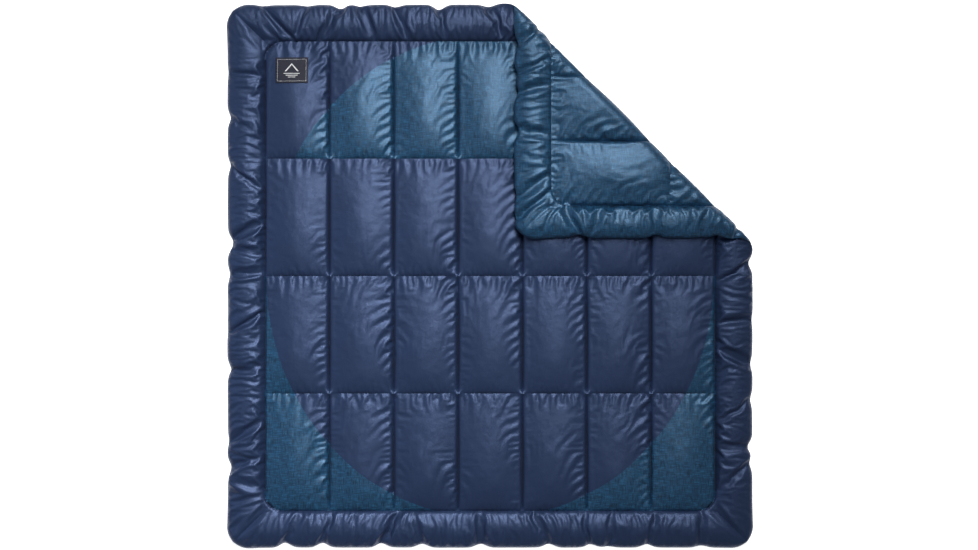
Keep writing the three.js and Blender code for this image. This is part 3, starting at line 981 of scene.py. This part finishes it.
def makeStitchTree(material):
    tree = bpy.data.node_groups.new("stitches_along_edges", "GeometryNodeTree")
    tree.interface.new_socket("Geometry", in_out="INPUT", socket_type="NodeSocketGeometry")
    for name in ("Pitch", "Length", "Width"):
        tree.interface.new_socket(name, in_out="INPUT", socket_type="NodeSocketFloat")
    tree.interface.new_socket("Seed", in_out="INPUT", socket_type="NodeSocketInt")
    tree.interface.new_socket("Geometry", in_out="OUTPUT", socket_type="NodeSocketGeometry")
    given = addNode(tree, "NodeGroupInput").outputs
    curve = addNode(tree, "GeometryNodeMeshToCurve", {"Mesh": given["Geometry"]})
    even = addNode(tree, "GeometryNodeResampleCurve", {
        "Curve": curve.outputs[0], "Length": given["Pitch"]}, mode="LENGTH")
    tangent = addNode(tree, "GeometryNodeInputTangent")
    turned = addNode(tree, "FunctionNodeAlignRotationToVector", {"Vector": tangent.outputs[0]}, axis="Z")
    radius = addNode(tree, "ShaderNodeMath", {0: given["Width"], 1: 0.5}, operation="MULTIPLY")
    rod = addNode(tree, "GeometryNodeMeshCylinder", {
        "Vertices": stitching["sides"], "Radius": radius.outputs[0], "Depth": given["Length"]})
    size = addNode(tree, "FunctionNodeRandomValue", {
        "Min": stitching["leastScale"], "Max": stitching["mostScale"], "Seed": given["Seed"]},
        data_type="FLOAT_VECTOR")
    laidOut = addNode(tree, "GeometryNodeInstanceOnPoints", {
        "Points": even.outputs[0], "Instance": rod.outputs["Mesh"],
        "Rotation": turned.outputs[0], "Scale": size.outputs[0]})
    real = addNode(tree, "GeometryNodeRealizeInstances", {"Geometry": laidOut.outputs[0]})
    painted = addNode(tree, "GeometryNodeSetMaterial", {"Geometry": real.outputs[0], "Material": material})
    addNode(tree, "NodeGroupOutput", {"Geometry": painted.outputs[0]})
    return tree


def makeStitches(name, runs, tree, sizes):
    # runs are lists of points, each a line of stitching
    places, edges = [], []
    for run in runs:
        start = len(places)
        places += [tuple(p) for p in run]
        edges += [(k, k + 1) for k in range(start, len(places) - 1)]
    mesh = bpy.data.meshes.new(name + "_path")
    mesh.from_pydata(places, edges, [])
    path = addObject(name + "_path", mesh)
    modifier = path.modifiers.new("stitches", "NODES")
    modifier.node_group = tree
    for item in tree.interface.items_tree:
        if item.in_out == "INPUT" and item.name in sizes:
            modifier[item.identifier] = sizes[item.name]
    evaluated = path.evaluated_get(bpy.context.evaluated_depsgraph_get())
    stitches = bpy.data.meshes.new_from_object(evaluated)
    bpy.data.objects.remove(path)
    return addObject(name, stitches)


def seamRuns():
    # every seam as index pairs into the grid, in order
    border, column, row, seam = grid.border, grid.column, grid.row, grid.seam
    ny, nx = grid.ny, grid.nx
    runs = []
    for i in range(border, nx - border, column):
        runs.append([(j, i) for j in range(border, ny - border) if seam[j, i]])
    for j in range(border, ny - border, row):
        runs.append([(j, i) for i in range(border, nx - border) if seam[j, i]])
    radius = quilt["panelRound"]
    turn = np.arctan2(grid.outY + radius, grid.outX + radius)
    for signX in (-1, 1):
        for signY in (-1, 1):
            mine = grid.arc & (grid.X * signX > 0) & (grid.Y * signY > 0)
            runs.append(sorted((tuple(p) for p in np.argwhere(mine)), key=lambda p: turn[p]))
    return runs


def splitAtFold(runs, onCorner):
    kept = []
    for run in runs:
        current = []
        for j, i in run:
            x, y = points[1, j, i, :2]
            if (x + y > foldSum) == onCorner:
                current.append(tuple((laid[0, j, i] + laid[1, j, i]) / 2))
            elif current:
                kept.append(current)
                current = []
        kept.append(current)
    return [run for run in kept if len(run) >= stitching["shortest"]]


# Bonded polyester thread: smooth, round and slightly glossy.
threadLook = {
    "name": "bonded_polyester_thread",
    "colour": "#1b2540",
    "roughness": 0.45,
    "fibre": 0.0011,
    "fibreDepth": 0.00005,
}


def makeThread(look):
    material, tree, shader = newMaterial(look["name"])
    place = addNode(tree, "ShaderNodeTexCoord")
    fibres = addNode(tree, "ShaderNodeTexNoise", {
        "Vector": place.outputs["Object"], "Scale": 1 / look["fibre"], "Detail": 1.0})
    bump = addNode(tree, "ShaderNodeBump", {"Height": fibres.outputs["Fac"], "Distance": look["fibreDepth"]})
    tree.links.new(bump.outputs[0], shader.inputs["Normal"])
    shader.inputs["Base Color"].default_value = linear(look["colour"])
    shader.inputs["Roughness"].default_value = look["roughness"]
    return material


thread = makeThread(threadLook)
stitchTree = makeStitchTree(thread)
seamSizes = {
    "Pitch": stitching["pitch"], "Length": stitching["length"],
    "Width": stitching["width"], "Seed": stitching["seed"],
}
patchSizes = {
    "Pitch": stitching["patchPitch"], "Length": stitching["patchLength"],
    "Width": stitching["patchWidth"], "Seed": stitching["seed"] + 1,
}
runs = seamRuns()
inset = stitching["patchInset"]
across, up = label["cells"]
patchRun = [patchTop[inset, i] for i in range(inset, across - inset)]
patchRun += [patchTop[j, across - inset] for j in range(inset, up - inset)]
patchRun += [patchTop[up - inset, i] for i in range(across - inset, inset, -1)]
patchRun += [patchTop[j, inset] for j in range(up - inset, inset - 1, -1)]
for name, lines, sizes, body, stoodFor in (
    ("seam_stitches", splitAtFold(runs, False), seamSizes, "quilt", ["seam_thread"]),
    ("seam_stitches_corner", splitAtFold(runs, True), seamSizes, "turned_corner",
     ["seam_thread_head_corner", "seam_thread_right_corner"]),
    ("label_stitches", [patchRun], patchSizes, "quilt", []),
):
    piece = makeStitches(name, lines, stitchTree, sizes)
    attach(piece, body)
    if stoodFor:
        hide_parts(*stoodFor)
report("stitches laid")

studio = {
    "floorHalf": 30,
    "paper": "#f4f4f4",
    "roughness": 0.9,
    "glow": 0.8,  # the paper glows a little, so that it stays white
    "sky": 0.25,
}
softboxes = [
    # name, place, aim, size, spread in degrees, watts, colour
    ("softbox_top", (0.5, 1.75, 4.6), (-0.9, -0.9, 0), 1.3, 58, 27, "#fffaf5"),
    ("softbox_head", (0.6, 3.3, 4.0), (-0.9, -0.9, 0), 1.6, 60, 28, "#fffaf5"),
    ("softbox_left", (-5.0, 0.5, 3.4), (0, 0, 0), 2.6, 180, 40, "#d4e4ff"),
]


def makeFloor(plan):
    mesh = bpy.data.meshes.new("floor")
    half = plan["floorHalf"]
    corners = [(-half, -half, 0), (half, -half, 0), (half, half, 0), (-half, half, 0)]
    mesh.from_pydata(corners, [], [(0, 1, 2, 3)])
    material, tree, shader = newMaterial("studio_paper")
    shader.inputs["Base Color"].default_value = linear(plan["paper"])
    shader.inputs["Roughness"].default_value = plan["roughness"]
    shader.inputs["Emission Color"].default_value = (1, 1, 1, 1)
    shader.inputs["Emission Strength"].default_value = plan["glow"]
    mesh.materials.append(material)
    addObject("floor", mesh)


def makeLight(name, place, aim, size, spread, power, colour):
    data = bpy.data.lights.new(name, "AREA")
    data.size, data.energy, data.color = size, power, linear(colour)[:3]
    data.spread = math.radians(spread)
    light = addObject(name, data)
    light.location = place
    light.rotation_euler = (Vector(aim) - Vector(place)).to_track_quat("-Z", "Y").to_euler()


def makeWorld(plan):
    world = bpy.data.worlds.new("studio")
    world.use_nodes = True
    sky = world.node_tree.nodes["Background"].inputs
    sky["Color"].default_value = (1, 1, 1, 1)
    sky["Strength"].default_value = plan["sky"]
    bpy.context.scene.world = world


makeFloor(studio)
for softbox in softboxes:
    makeLight(*softbox)
makeWorld(studio)
bpy.context.scene.view_settings.view_transform = "Standard"

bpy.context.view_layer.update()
report("finished")
